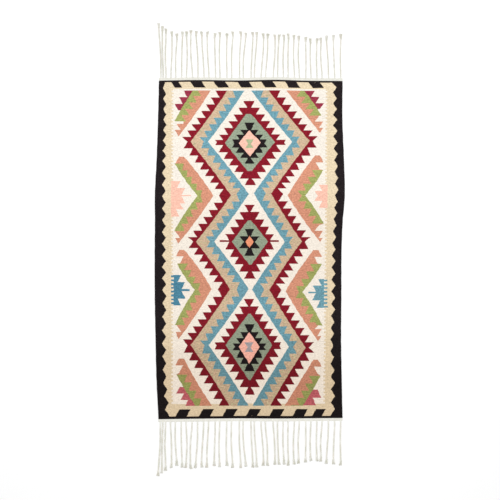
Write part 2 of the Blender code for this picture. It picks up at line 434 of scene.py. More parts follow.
# The lowest leg at the right ends in a short green tail, and a sliver of ivory parts the green end
# of the first leg from the salmon step below it.
GREEN_TAIL = ((31.5, -32.2), (32.4, -33.8), (29.8, -33.6), (29.0, -32.2))
IVORY_SLIVER = ((-33.4, 56.95), (-29.4, 56.95), (-29.4, 55.8), (-33.4, 55.8))
lay("green", GREEN_TAIL)
lay("ivory", IVORY_SLIVER)

# %% [markdown]
# ### Stepped figures
#
# A medallion is a stepped figure with the same tiers on both sides, and with arms at its widest
# row. Inside it lie a plain diamond, a smaller black stepped figure and a diamond at the heart.
# The small figures at the sides are halves of the same form. Each tier has a flat edge facing
# the figure's end and a slanted edge that runs back in before the next tier steps out.

# %% A stepped figure
def even_tiers(end, shoulder, count):
    """Rows of (y, half width), evenly spaced from a figure's end to its widest tier."""
    return [tuple(row) for row in np.linspace(end, shoulder, count)]


def stepped_edge(tiers, slant):
    """(half width, y) along the tiers of half a figure, from its end to its middle."""
    edge = [(tiers[0][1], tiers[0][0])]
    for (_, half), (next_y, next_half) in zip(tiers, tiers[1:]):
        edge += [(half - slant, next_y), (next_half, next_y)]
    return edge


def arm(far_y, near_y, root, tip, notch):
    """(half width, y) round an arm that stands out at the figure's middle."""
    middle = (far_y + near_y) / 2
    return [(root, far_y), (tip, far_y), (tip - notch, middle), (tip, near_y), (root, near_y)]


def stepped_side(far_tiers, near_tiers, middle, slant):
    """(half width, y) down one whole side of a figure."""
    return stepped_edge(far_tiers, slant) + middle + stepped_edge(near_tiers, slant)[::-1]


def stepped_figure(yarn, centres, left_side, right_side):
    """Lays a figure from what its two sides say. Centres gives its far and near end's X."""
    ends = (right_side[-1][1], right_side[0][1])
    right = [(np.interp(y, ends, centres[::-1]) + half, y) for half, y in right_side]
    left = [(np.interp(y, ends, centres[::-1]) - half, y) for half, y in left_side]
    lay(yarn, right + left[::-1])


def hourglass(yarn, centre, half_width, half_height, waist):
    """Two triangles that meet at a narrow waist."""
    x, y = centre
    right = [(x + half_width, y + half_height), (x + waist, y), (x + half_width, y - half_height)]
    left = [(x - half_width, y - half_height), (x - waist, y), (x - half_width, y + half_height)]
    lay(yarn, right + left)


# %% The three medallions
MEDALLION_SLANT = 1.8
HEART_SLANT = 1.5
MEDALLIONS = (
    dict(
        tiers=6, centres=(-0.3, 0.3), far=((65.9, 2.6), (51.1, 13.6)),
        near=((28.6, 2.55), (43.2, 13.9)),
        arm_rows=(48.7, 46.4), arm_tips=(15.4, 16.1), arm_notch=0.8,
        sage=((-1.6, 60.2), (0.6, 60.2), (11.2, 47.8), (1.0, 34.9), (-1.0, 34.9), (-11.0, 47.3)),
        black_far=((56.4, 2.3), (53.2, 4.1), (51.0, 6.0), (48.9, 7.7)),
        black_near=((38.1, 2.2), (40.7, 4.2), (42.9, 6.1), (45.3, 7.9)),
        black_waist=(6.7, 47.1),
        heart=("pale_pink", ((-0.3, 52.9), (5.0, 47.6), (0.1, 41.3), (-4.9, 47.2))),
        hourglass=("pistachio", (-0.1, 47.0), 1.8, 1.9),
    ),
    dict(
        tiers=5, centres=(-0.1, 0.1), far=((19.9, 2.25), (6.9, 10.9)),
        near=((-13.0, 2.65), (0.0, 10.9)),
        arm_rows=(4.2, 3.4), arm_tips=(13.4, 13.0), arm_notch=0.0,
        sage=((-0.8, 13.0), (0.6, 13.0), (8.1, 3.6), (0.8, -6.6), (-0.3, -6.6), (-7.9, 3.4)),
        black_far=((9.1, 2.1), (5.9, 4.4)),
        black_near=((-2.8, 2.3), (0.5, 4.7)),
        black_waist=(2.5, 3.4),
        heart=("coral", ((-0.1, 6.0), (1.9, 3.4), (-0.1, 0.8), (-2.0, 3.4))),
        hourglass=None,
    ),
    dict(
        tiers=6, centres=(-0.3, 0.0), far=((-21.9, 2.3), (-38.4, 12.7)),
        near=((-64.4, 2.4), (-47.7, 13.0)),
        arm_rows=(-41.1, -44.3), arm_tips=(15.4, 14.2), arm_notch=0.8,
        sage=((-0.6, -28.4), (0.4, -28.4), (10.0, -42.4), (0.3, -57.9), (-0.4, -57.9),
              (-10.7, -42.4)),
        black_far=((-33.1, 2.3), (-36.5, 4.1), (-39.2, 5.9), (-41.6, 7.5)),
        black_near=((-54.0, 2.4), (-50.7, 4.2), (-48.1, 5.8), (-44.6, 7.5)),
        black_waist=(6.4, -43.2),
        heart=("deep_pink", ((-0.2, -36.6), (4.4, -43.2), (-0.2, -50.6), (-4.8, -43.2))),
        hourglass=("lilac_grey", (-0.3, -43.3), 2.0, 2.1),
    ),
)
HOURGLASS_WAIST = 0.6
HEART_CENTRES = (-0.1, -0.1)

for figure in MEDALLIONS:
    far = even_tiers(*figure["far"], figure["tiers"])
    near = even_tiers(*figure["near"], figure["tiers"])
    sides = []
    for tip in figure["arm_tips"]:
        root = far[-1][1] - MEDALLION_SLANT
        middle = arm(*figure["arm_rows"], root, tip, figure["arm_notch"])
        sides.append(stepped_side(far, near, middle, MEDALLION_SLANT))
    stepped_figure("maroon", figure["centres"], *sides)
    lay("sage", figure["sage"])
    heart_side = stepped_side(figure["black_far"], figure["black_near"],
                              [figure["black_waist"]], HEART_SLANT)
    stepped_figure("black", HEART_CENTRES, heart_side, heart_side)
    lay(*figure["heart"])
    if figure["hourglass"]:
        hourglass(*figure["hourglass"], HOURGLASS_WAIST)

# %% The half figures at the sides
HALF_SLANT = 1.5
HALF_COLUMNS = ("yarn", "side", "back", "far", "near", "arm", "waist", "comb")
HALF_FIGURES = (
    ("pale_pink", -1, -34.9, ((30.5, 4.2), (27.4, 6.2)),
     ((14.7, 3.6), (17.8, 5.5), (20.5, 6.2)), (24.3, 23.7, 8.7), None, None),
    ("pale_pink", 1, 34.5, ((28.7, 3.8), (26.0, 5.7)), ((18.5, 3.8), (21.6, 5.9)), None,
     (4.2, 23.9), None),
    ("teal_blue", -1, -33.8, ((-11.3, 3.3), (-14.4, 5.1)), ((-24.8, 3.3), (-21.7, 5.3)),
     (-17.6, -18.4, 7.3), None, (-34.9, -11.5, -25.0, 8)),
    ("blue", 1, 33.0, ((-13.1, 2.7), (-15.9, 5.1)), ((-25.9, 3.3), (-22.6, 5.3)),
     (-18.6, -19.4, 7.1), None, (34.5, -13.3, -26.6, 8)),
)
for row in HALF_FIGURES:
    figure = dict(zip(HALF_COLUMNS, row))
    root = figure["far"][-1][1] - HALF_SLANT
    if figure["arm"]:
        far_y, near_y, tip = figure["arm"]
        middle = arm(far_y, near_y, root, tip, 0.0)
    else:
        middle = [figure["waist"]]
    profile = stepped_side(figure["far"], figure["near"], middle, HALF_SLANT)
    inward = -figure["side"]
    front = [(figure["back"] + inward * half, y) for half, y in profile]
    lay(figure["yarn"], front + [(figure["back"], profile[-1][1]), (figure["back"], profile[0][1])])
    if figure["comb"]:
        tip_x, far_y, near_y, count = figure["comb"]
        pitch = (far_y - near_y) / count
        for number in range(count):
            y = far_y - pitch * number
            lay(figure["yarn"], [(figure["back"], y), (tip_x, y), (tip_x, y - pitch / 2),
                                 (figure["back"], y - pitch / 2)])
print("shapes on the chart:", len(chart))

# %% [markdown]
# ## The woven cloth
#
# The cloth is a net of warp ribs and weft rows. Rib by rib, a vertical line through the middle of
# the rib is cut by the chart's outlines, and each crossing is moved to the nearest weft row. That
# gives the yarn of each rib and row, as a weaver would count it. A mesh from this count, and not
# from the chart's own outlines, keeps the small steps that show every slanted edge as woven.

# %% From the chart to ribs and rows
RIBS = 332
ROW_PITCH = 0.8 * MM
ROWS = round(WOVEN_LENGTH / ROW_PITCH)
EDGE_STEP = 0.8
# How far a hand wanders, in centimetres, and its waves: strength, by y, by x, and phase
HAND_ACROSS = 0.13
HAND_ALONG = 0.09
ACROSS_WAVES = ((0.6, 2.9, 0.9, 0.0), (0.4, 1.3, -0.5, 2.0))
ALONG_WAVES = ((0.6, 2.3, 0.10, 1.0), (0.4, 0.9, -0.15, 0.0))
yarns = sorted({yarn for yarn, _, _ in chart})


def row_of(y):
    """The weft row nearest to a height on the chart, counted from the far end."""
    return np.clip(np.rint((WOVEN_LENGTH / 2 - y * CM) / ROW_PITCH), 0, ROWS).astype(int)


def by_hand(x, y):
    """Moves points of the chart by a millimetre or so: a weaver never lands quite on the plan."""
    across, along = (sum(strength * np.sin(by_y * y + by_x * x + phase)
                         for strength, by_y, by_x, phase in waves)
                     for waves in (ACROSS_WAVES, ALONG_WAVES))
    return x + HAND_ACROSS * across, y + HAND_ALONG * along


def along_ribs(outline):
    """The outline with extra points, its X turned into a count of ribs from the left edge."""
    points = []
    for start, end in zip(outline, np.roll(outline, -1, axis=0)):
        pieces = max(1, math.ceil(np.linalg.norm(end - start) / EDGE_STEP))
        points += [start + (end - start) * n / pieces for n in range(pieces)]
    x, y = by_hand(*np.array(points).T)
    left, right = side_x("left", y * CM), side_x("right", y * CM)
    return (x * CM - left) / (right - left) * RIBS, y


def weave(shapes):
    """An array of yarn numbers, one for each rib and row."""
    woven = np.zeros((RIBS, ROWS), dtype=int)
    field_rows = row_of(np.array([FIELD_FAR, FIELD_NEAR]))
    for yarn, outline, in_field in shapes:
        rib, y = along_ribs(outline)
        next_rib, next_y = np.roll(rib, -1), np.roll(y, -1)
        first, last = (field_rows if in_field else (0, ROWS))
        lowest = max(0, math.floor(rib.min() - 0.5))
        for number in range(lowest, min(RIBS, math.ceil(rib.max() + 0.5))):
            middle = number + 0.5
            crosses = (rib <= middle) != (next_rib <= middle)
            share = (middle - rib[crosses]) / (next_rib[crosses] - rib[crosses])
            heights = y[crosses] + share * (next_y[crosses] - y[crosses])
            rows = np.clip(np.sort(row_of(heights)), first, last)
            for start, end in zip(rows[::2], rows[1::2]):
                woven[number, start:end] = yarns.index(yarn)
    return woven


woven = weave(chart)
changes = int(np.count_nonzero(np.diff(woven, axis=1)))
print("ribs and rows:", woven.shape, "yarns:", len(yarns), "changes of yarn along the ribs:", changes)

# %% [markdown]
# ### The mesh of the cloth
#
# Between two neighbouring ribs lies a line of points, one wherever either rib changes yarn. Two
# such lines bound one rib, and a zip of triangles fills it. The top and the underside are woven
# alike, because a kilim is the same on both faces, and a rounded wall joins them all round. The
# surface isn't dead flat: a gentle unevenness lifts it here and there by a fraction of a
# millimetre, and the selvedges and ends are thinner than the middle.

# %% The surface of the cloth
CLOTH_THICKNESS = 3.0 * MM
EDGE_TOP = 2.2 * MM
EDGE_BOTTOM = 0.7 * MM
EDGE_LEVEL = 2.5 * MM
REGULAR_STEP = 30.0 * MM
END_ZONE = 0.15
SELVEDGE_WAVE = 0.9 * MM
SELVEDGE_SHARE = 0.05
SELVEDGE_RATES = (210, 93)
RIGHT_PHASE = 2.0
UNEVENNESS = 0.28 * MM
# Two crossing swells, each by x, by y and phase, and a ripple along the rug that bends across it
SWELLS = ((9.1, 3.7, 1.0), (-2.2, 5.3, 0.0))
SWELL_SHARE = 0.6
RIPPLE_ALONG = 23.0
RIPPLE_ACROSS = 7.0
RIPPLE_BEND = 6.0


def selvedge_wave(rib, y):
    """A small sideways wave of the outermost ribs, where the weft turned back too tight or loose."""
    from_middle = abs(2 * rib / RIBS - 1)
    nearness = max(0.0, from_middle - (1 - SELVEDGE_SHARE)) / SELVEDGE_SHARE
    phase = 0.0 if rib < RIBS / 2 else RIGHT_PHASE
    quick, slow = SELVEDGE_RATES
    return SELVEDGE_WAVE * nearness * (math.sin(quick * y + phase) + math.sin(slow * y - phase)) / 2


def rug_point(rib, y):
    """Where a place counted in ribs and metres lies on the rug, seen from above."""
    wave = selvedge_wave(rib, y)
    left, right = side_x("left", y) + wave, side_x("right", y) + wave
    share = rib / RIBS
    end = 1 if y > 0 else -1
    nearness = np.clip((abs(y) - WOVEN_LENGTH / 2 + END_ZONE) / END_ZONE, 0, 1)
    return left + (right - left) * share, y + end * end_bulge(end, share) * nearness ** 2


def unevenness(x, y):
    """Slow waves in the height of the top, from tension that was never quite even."""
    swell = math.prod(math.sin(by_x * x + by_y * y + phase) for by_x, by_y, phase in SWELLS)
    ripple = math.sin(RIPPLE_ALONG * y + RIPPLE_BEND * math.sin(RIPPLE_ACROSS * x))
    return UNEVENNESS * (SWELL_SHARE * swell + (1 - SWELL_SHARE) * ripple)


def line_levels(line):
    """The heights, from the far end, at which the line between two ribs has a point."""
    found = {0, ROWS}
    for rib in (line - 1, line):
        if 0 <= rib < RIBS:
            found.update((np.flatnonzero(np.diff(woven[rib])) + 1).tolist())
    inset = round(EDGE_LEVEL / ROW_PITCH)
    found.update((inset, ROWS - inset))
    step = round(REGULAR_STEP / ROW_PITCH)
    found.update(range(step, ROWS - step, step))
    return sorted(found)


levels = [line_levels(line) for line in range(RIBS + 1)]
print("points on one face of the cloth:", sum(len(found) for found in levels))

# %% Building the cloth's mesh
def cloth_points():
    """The points of both faces, and where each line's points start in the list."""
    points, weave_map, starts = [], [], []
    for line, found in enumerate(levels):
        starts.append(len(points))
        for level in found:
            y = WOVEN_LENGTH / 2 - level * ROW_PITCH
            x, rug_y = rug_point(line, y)
            at_edge = line in (0, RIBS) or level in (0, ROWS)
            top = EDGE_TOP if at_edge else CLOTH_THICKNESS + unevenness(x, rug_y) - UNEVENNESS
            bottom = EDGE_BOTTOM if at_edge else 0.0
            points.append((x, rug_y, top, bottom))
            weave_map.append((line, y))
    return np.array(points), np.array(weave_map), starts


def zipped(left, right):
    """Triangles between two lines of levels, as (side, index) corners, with the level of each."""
    triangles = []
    a = b = 0
    while a < len(left) - 1 or b < len(right) - 1:
        step_left = b == len(right) - 1 or (a < len(left) - 1 and left[a + 1] <= right[b + 1])
        if step_left:
            corners = (("left", a), ("left", a + 1), ("right", b))
            middle = (left[a] + left[a + 1]) / 2
            a += 1
        else:
            corners = (("left", a), ("right", b + 1), ("right", b))
            middle = (right[b] + right[b + 1]) / 2
            b += 1
        triangles.append((corners, middle))
    return triangles


def build_cloth():
    """The whole cloth as one closed mesh, with a material number on each face."""
    points, weave_map, starts = cloth_points()
    count = len(points)
    vertices = [(x, y, top) for x, y, top, _ in points] + [(x, y, low) for x, y, _, low in points]
    faces, face_yarns = [], []
    for rib in range(RIBS):
        base = {"left": starts[rib], "right": starts[rib + 1]}
        for corners, middle in zipped(levels[rib], levels[rib + 1]):
            top = tuple(base[side] + index for side, index in corners)
            yarn = int(woven[rib, int(middle)])
            faces += [top, tuple(corner + count for corner in reversed(top))]
            face_yarns += [yarn, yarn]
    rim = cloth_rim(starts)
    for corner, following in zip(rim, rim[1:] + rim[:1]):
        faces.append((corner, following, following + count, corner + count))
        face_yarns.append(yarns.index("black"))
    mesh = bpy.data.meshes.new("kilim_weave")
    mesh.from_pydata(vertices, [], faces)
    mesh.polygons.foreach_set("material_index", face_yarns)
    return mesh, np.vstack([weave_map, weave_map])


def cloth_rim(starts):
    """The points round the edge of the top, in the order that makes the walls face outwards."""
    far = [starts[line] for line in range(RIBS, -1, -1)]
    left = [starts[0] + n for n in range(1, len(levels[0]))]
    near = [starts[line] + len(levels[line]) - 1 for line in range(1, RIBS + 1)]
    right = [starts[RIBS] + n for n in range(len(levels[RIBS]) - 2, 0, -1)]
    return (far + left + near + right)[::-1]


cloth_mesh, weave_map = build_cloth()
print("triangles in the cloth:", triangle_count(cloth_mesh))

# %% A map from the mesh to ribs and rows
# The finish needs to know where on the loom each point was woven. A UV map carries that: U is
# the distance across in metres, rib by rib, and V the distance along.
RIB_PITCH = 2.5 * MM
weave_uv = cloth_mesh.uv_layers.new(name="weave")
corner_points = np.zeros(len(cloth_mesh.loops), dtype=int)
cloth_mesh.loops.foreach_get("vertex_index", corner_points)
on_loom = weave_map[corner_points] * (RIB_PITCH, 1.0)
weave_uv.data.foreach_set("uv", on_loom.ravel())
cloth_mesh.shade_smooth()
kilim = add_object("woven_kilim", cloth_mesh)

# %% [markdown]
# ## Dyed wool
#
# Handspun wool takes plant dye unevenly. Each colour is also painted duller and browner towards
# the near end: painted shade, where the light falls off away from the far end. A flat colour or
# a picture can't show all that at every scale, so each yarn is a material made from layers: the
# lit colour and its painted-shade colour, slow bands along the length where one dye lot gives way
# to the next, a mottle of lighter and darker spots of the spun yarn, streaks as wide as a weft
# row, and fine specks where fibres catch the light.
# The weave itself is a bump worked out from the loom map: packed weft makes a bead over each
# warp, and the beads of neighbouring ribs are offset by half a row. The same height is also
# painted into the colour: painted shade in the grooves between beads and rows.

# %% Small helpers for node trees
def linear(colour):
    """A colour given as 0 to 255 screen values, as the linear values a shader takes."""
    scaled = [value / 255 for value in colour]
    curve = [v / 12.92 if v <= 0.04045 else ((v + 0.055) / 1.055) ** 2.4 for v in scaled]
    return (*curve, 1.0)


WOOL_SHEEN = 0.05
SHEEN_ROUGHNESS = 0.5
# The stretch of a noise pattern that each use of it spreads over its own two values
NOISE_RANGE = (0.25, 0.75)
ROUGHENING_RANGE = (0.2, 0.8)
STRAY_RANGE = (0.50, 0.66)
BLOTCH_RANGE = (0.40, 0.60)


class Nodes:
    """A new material, with a short way to add nodes to it and wire them together."""

    def __init__(self, name):
        self.material = bpy.data.materials.new(name)
        self.material.use_nodes = True
        self.tree = self.material.node_tree
        self.shader = self.tree.nodes["Principled BSDF"]

    def feed(self, socket, value):
        if isinstance(value, bpy.types.NodeSocket):
            self.tree.links.new(value, socket)
        else:
            socket.default_value = value

    def math(self, operation, *values):
        node = self.tree.nodes.new("ShaderNodeMath")
        node.operation = operation
        for socket, value in zip(node.inputs, values):
            self.feed(socket, value)
        return node.outputs[0]

    def mix(self, share, first, second, blend="MIX"):
        node = self.tree.nodes.new("ShaderNodeMix")
        node.data_type = "RGBA"
        node.blend_type = blend
        self.feed(node.inputs["Factor"], share)
        self.feed(node.inputs["A"], first)
        self.feed(node.inputs["B"], second)
        return node.outputs["Result"]

    def noise(self, place, grain, detail=2.0):
        """Noise from 0 to 1, finer in each direction as that direction's grain is larger."""
        stretched = self.tree.nodes.new("ShaderNodeMapping")
        self.feed(stretched.inputs["Vector"], place)
        stretched.inputs["Scale"].default_value = grain
        node = self.tree.nodes.new("ShaderNodeTexNoise")
        self.feed(node.inputs["Vector"], stretched.outputs["Vector"])
        node.inputs["Scale"].default_value = 1.0
        node.inputs["Detail"].default_value = detail
        return node.outputs["Fac"]

    def remap(self, value, low, high, to_low, to_high):
        node = self.tree.nodes.new("ShaderNodeMapRange")
        self.feed(node.inputs["Value"], value)
        names = ("From Min", "From Max", "To Min", "To Max")
        for name, setting in zip(names, (low, high, to_low, to_high)):
            node.inputs[name].default_value = setting
        return node.outputs["Result"]

    def ramp(self, value, stops):
        node = self.tree.nodes.new("ShaderNodeValToRGB")
        node.color_ramp.interpolation = "EASE"
        marks = node.color_ramp.elements
        while len(marks) < len(stops):
            marks.new(0.5)
        for mark, (position, level) in zip(marks, stops):
            mark.position = position
            mark.color = (level, level, level, 1.0)
        self.feed(node.inputs["Fac"], value)
        return node.outputs["Color"]

    def parts(self, place):
        """The X and the Y of a place, each as a value of its own."""
        node = self.tree.nodes.new("ShaderNodeSeparateXYZ")
        self.feed(node.inputs[0], place)
        return node.outputs["X"], node.outputs["Y"]

    def shaded(self, colour, pattern, low, high, at_low, at_high):
        """The colour times a shade that follows a pattern from low to high."""
        return self.mix(1.0, colour, self.remap(pattern, low, high, at_low, at_high), "MULTIPLY")

    def wool_surface(self, colour, fibres, roughness, specular, height, depth, strength):
        """What all wool here shares: a rough, faintly sheened surface with a bump from a height."""
        self.feed(self.shader.inputs["Base Color"], colour)
        rough = self.remap(fibres, *ROUGHENING_RANGE, *roughness)
        self.feed(self.shader.inputs["Roughness"], rough)
        self.shader.inputs["Specular IOR Level"].default_value = specular
        self.shader.inputs["Sheen Weight"].default_value = WOOL_SHEEN
        self.shader.inputs["Sheen Roughness"].default_value = SHEEN_ROUGHNESS
        bump = self.tree.nodes.new("ShaderNodeBump")
        bump.inputs["Strength"].default_value = strength
        bump.inputs["Distance"].default_value = depth
        self.feed(bump.inputs["Height"], height)
        self.feed(self.shader.inputs["Normal"], bump.outputs["Normal"])


# %% The finish of one dyed yarn
WEFT_PITCH = 1.6 * MM
# Painted shade, deeper towards the near end: pairs of a share of the way from the far end and its
# depth
NEAR_END_PAINTED_SHADE = ((0.0, 0.0), (0.32, 0.0), (0.42, 0.32), (0.70, 0.34), (0.86, 1.0), (1.0, 1.0))
# The painted shade takes more of the blue than of the red, so the near end turns browner
PAINTED_SHADE_TINT = (1.05, 0.99, 0.94)
# Each pattern in the dye: its grain across and along, its detail and its strength. They are the
# dye lots, the mottle of the spun yarn and streaks as wide as a weft row.
DYE_PATTERNS = (
    ((1.2, 16.0, 1.0), 3.0, 1.0),
    ((130.0, 190.0, 1.0), 3.0, 4.5),
    ((45.0, 420.0, 1.0), 2.0, 2.0),
)
FIBRE_GRAIN = (900.0, 900.0, 900.0)
FIBRE_STRENGTH = 0.8
FIBRE_FUZZ = 0.3
DYED_ROUGHNESS = (0.86, 0.98)
DYED_SPECULAR = 0.08
WEAVE_DEPTH = 0.35 * MM
WEAVE_STRENGTH = 0.8
# The groove between rows: its share of the bead's height, and the painted shade the colour gets where
# the bead is lower than that
GROOVE_HEIGHT = 0.55
GROOVE_SHADE = 0.72
STRAY_SHARE = 0.75


def bead_height(nodes, across, along):
    """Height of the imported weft: round over each warp, with a groove between rows."""
    ribs_passed = nodes.math("DIVIDE", across, RIB_PITCH)
    in_rib = nodes.math("FRACT", ribs_passed)
    offset = nodes.math("MULTIPLY", nodes.math("MODULO", nodes.math("FLOOR", ribs_passed), 2.0), 0.5)
    in_row = nodes.math("FRACT", nodes.math("ADD", nodes.math("DIVIDE", along, WEFT_PITCH), offset))
    over_warp = nodes.math("SINE", nodes.math("MULTIPLY", in_rib, math.pi))
    over_row = nodes.math("SINE", nodes.math("MULTIPLY", in_row, math.pi))
    grooved = nodes.math("MULTIPLY_ADD", over_row, 1 - GROOVE_HEIGHT, GROOVE_HEIGHT)
    return nodes.math("MULTIPLY", nodes.math("SQRT", over_warp), grooved)


def dyed_wool(name, base_colour, kept, dye, stray_fibres):
    """One yarn: its colour, how much of its light it keeps in the painted shade towards the near end,
    how uneven its dye is, and the colour and grain of each kind of stray fibre in it."""
    nodes = Nodes(name)
    loom = nodes.tree.nodes.new("ShaderNodeUVMap")
    loom.uv_map = "weave"
    place = loom.outputs["UV"]
    across, along = nodes.parts(place)

    half = WOVEN_LENGTH / 2
    # Painted shade: each colour turns darker and browner towards the near end, where the light falls
    # off
    soil_and_painted_shade = nodes.ramp(nodes.remap(along, half, -half, 0.0, 1.0), NEAR_END_PAINTED_SHADE)
    unshaded_colour = linear(base_colour)
    painted_shade_colour = [value * kept * tint for value, tint in zip(unshaded_colour, PAINTED_SHADE_TINT)] + [1.0]
    colour = nodes.mix(soil_and_painted_shade, unshaded_colour, painted_shade_colour)
    for stray, grain in stray_fibres:
        shown = nodes.remap(nodes.noise(place, grain, 3.0), *STRAY_RANGE, 0.0, STRAY_SHARE)
        colour = nodes.mix(shown, colour, linear(stray))
    fibres = nodes.noise(place, FIBRE_GRAIN)
    patterns = [(nodes.noise(place, grain, detail), strength)
                for grain, detail, strength in DYE_PATTERNS]
    for pattern, strength in patterns + [(fibres, FIBRE_STRENGTH)]:
        change = dye * strength
        colour = nodes.shaded(colour, pattern, *NOISE_RANGE, 1.0 - change, 1.0 + change)
    height = bead_height(nodes, across, along)
    # Painted shade: darker colour in the grooves between beads and rows
    colour = nodes.shaded(colour, height, 0.0, GROOVE_HEIGHT, GROOVE_SHADE, 1.0)
    fuzzy = nodes.math("MULTIPLY_ADD", fibres, FIBRE_FUZZ, height)
    nodes.wool_surface(colour, fibres, DYED_ROUGHNESS, DYED_SPECULAR, fuzzy, WEAVE_DEPTH,
                       WEAVE_STRENGTH)
    return nodes.material


# %% The seventeen yarns
# Each yarn: its colour, how much of its light it keeps in the painted shade at the near end, and
# how uneven its dye is. Deep colours lose the most.
YARN_COLOURS = {
    "black": ((34, 28, 30), 0.50, 0.15),
    "cream": ((228, 210, 178), 0.80, 0.05),
    "ivory": ((240, 232, 220), 0.85, 0.04),
    "maroon": ((135, 25, 40), 0.60, 0.10),
    "blue": ((110, 158, 172), 0.70, 0.09),
    "tan": ((206, 180, 152), 0.68, 0.07),
    "sage": ((148, 160, 138), 0.72, 0.08),
    "green": ((160, 167, 98), 0.70, 0.08),
    "salmon": ((212, 147, 120), 0.72, 0.07),
    "pale_pink": ((245, 192, 172), 0.85, 0.05),
    "raspberry": ((152, 52, 72), 0.70, 0.09),
    "faded_raspberry": ((194, 100, 108), 0.75, 0.09),
    "teal_blue": ((78, 134, 158), 0.70, 0.08),
    "coral": ((236, 152, 115), 0.80, 0.06),
    "deep_pink": ((245, 182, 165), 0.80, 0.06),
    "pistachio": ((170, 180, 140), 0.80, 0.06),
    "lilac_grey": ((164, 160, 164), 0.80, 0.06),
}
# The tan yarn holds greenish and pinkish fibres, each with its colour and its grain
STRAY_FIBRES = {
    "tan": (((174, 176, 134), (70.0, 150.0, 1.0)), ((212, 176, 144), (70.0, 180.0, 1.0))),
}

for yarn in yarns:
    wool = dyed_wool("wool_" + yarn, *YARN_COLOURS[yarn], STRAY_FIBRES.get(yarn, ()))
    kilim.data.materials.append(wool)
print("yarn materials:", len(kilim.data.materials))

# %% [markdown]
# ## The fringe
#
# When the rug leaves the loom its warps are cut. A few rows of white weft, the heading, hold the
# last coloured row, and beyond it the warps are gathered, plied into strands and knotted. Hair
# curves would be quick, but a strand of this size has a body: three plies that lie round each
# other. So each strand is a tube whose section has three lobes, turned steadily along its way.

# %% The fringe's sizes, as its solid has them
HEADING_WIDTH = 12.0 * MM
HEADING_THICKNESS = 3.0 * MM
HEADING_GAP = 0.3 * MM
STRAND_COUNT = 34
STRAND_WIDTH = 7.0 * MM
STRAND_HEIGHT = 6.0 * MM
STRAND_SEED = 6604
PAIR_SHIFT = 2.0 * MM
ROOT_SCATTER = 3.5 * MM
TIP_SCATTER = 2.5 * MM
REACH_SCATTER = 4.5 * MM
BOW_SCATTER = 4.0 * MM
SHANK_CLEARANCE = 1.2 * MM
TUFT_CLEARANCE = 1.2 * MM
KNOT_WIDTH = 10.0 * MM
KNOT_HEIGHT = 8.0 * MM
TUFT_WIDTH = 11.6 * MM
ROOT_COLUMNS = ("share", "root")
ROOT_STATIONS = (
    (0.00, 0.01),
    (0.06, 0.04),
    (0.12, 0.09),
    (0.18, 0.15),
    (0.24, 0.21),
    (0.33, 0.30),
    (0.45, 0.43),
    (0.54, 0.52),
    (0.72, 0.70),
    (0.88, 0.86),
    (1.00, 0.99),
)
FRINGE_COLUMNS = ("share", "reach", "lean")
FRINGE_STATIONS = (
    (0.00, 0.257, -0.010),
    (0.03, 0.238, -0.001),
    (0.08, 0.217, 0.008),
    (0.18, 0.222, -0.006),
    (0.35, 0.215, -0.002),
    (0.46, 0.218, 0.010),
    (0.56, 0.211, 0.009),
    (0.70, 0.208, 0.001),
    (0.80, 0.194, -0.001),
    (0.87, 0.190, -0.003),
    (0.93, 0.201, -0.010),
    (1.00, 0.208, 0.004),
)


def end_span(end):
    """X of the two corners at the far end (end = 1) or the near end (end = -1)."""
    y = end * WOVEN_LENGTH / 2
    return float(side_x("left", y)), float(side_x("right", y))


def end_y(end, share):
    """Y of the cloth's end edge at a share of the width from the left."""
    return end * (WOVEN_LENGTH / 2 + end_bulge(end, share))


# %% Where each strand goes
def strand_roots(left, right):
    """X of each strand's root: in loose pairs, and crowded towards the left corner."""
    scatter = random.Random(STRAND_SEED)
    roots = []
    for index in range(STRAND_COUNT):
        u = index / (STRAND_COUNT - 1)
        share = float(smooth_value(ROOT_STATIONS, ROOT_COLUMNS, "root", u))
        paired = PAIR_SHIFT * (1 if index % 2 else -1)
        inside = min(1.0, 4 * u, 4 * (1 - u))
        moved = inside * (paired + scatter.uniform(-ROOT_SCATTER, ROOT_SCATTER))
        roots.append(left + (right - left) * share + moved)
    return roots


def spread_apart(places, clearance):
    """Keeps each strand's place at least its clearance to the right of the one before it."""
    kept = [places[0]]
    for place in places[1:]:
        kept.append(max(place, kept[-1] + clearance))
    overshoot = max(0.0, kept[-1] - places[-1])
    return [place - overshoot * n / (len(kept) - 1) for n, place in enumerate(kept)]


def strand_shapes(left, right):
    """For each strand: its root's X, its tip's X, its sideways bow and its reach."""
    scatter = random.Random(STRAND_SEED + 1)
    shank_pitch = STRAND_WIDTH + SHANK_CLEARANCE
    roots = spread_apart(strand_roots(left, right), shank_pitch)
    tips, bows, reaches = [], [], []
    for root in roots:
        share = (root - left) / (right - left)
        lean = float(smooth_value(FRINGE_STATIONS, FRINGE_COLUMNS, "lean", share))
        reach = float(smooth_value(FRINGE_STATIONS, FRINGE_COLUMNS, "reach", share))
        tips.append(root + lean + scatter.uniform(-TIP_SCATTER, TIP_SCATTER))
        bows.append(scatter.uniform(-BOW_SCATTER, BOW_SCATTER))
        reaches.append(reach + scatter.uniform(-REACH_SCATTER, REACH_SCATTER))
    reaches[0] = FRINGE_STATIONS[0][1]
    tips = spread_apart(tips, TUFT_WIDTH + TUFT_CLEARANCE)
    straight = [(root + tip) / 2 for root, tip in zip(roots, tips)]
    middles = spread_apart([x + bow for x, bow in zip(straight, bows)], shank_pitch)
    bows = [middle - x for middle, x in zip(middles, straight)]
    return list(zip(roots, tips, bows, reaches))


# %% A mesh gathered from tubes
UPWARD = np.array((0.0, 0.0, 1.0))


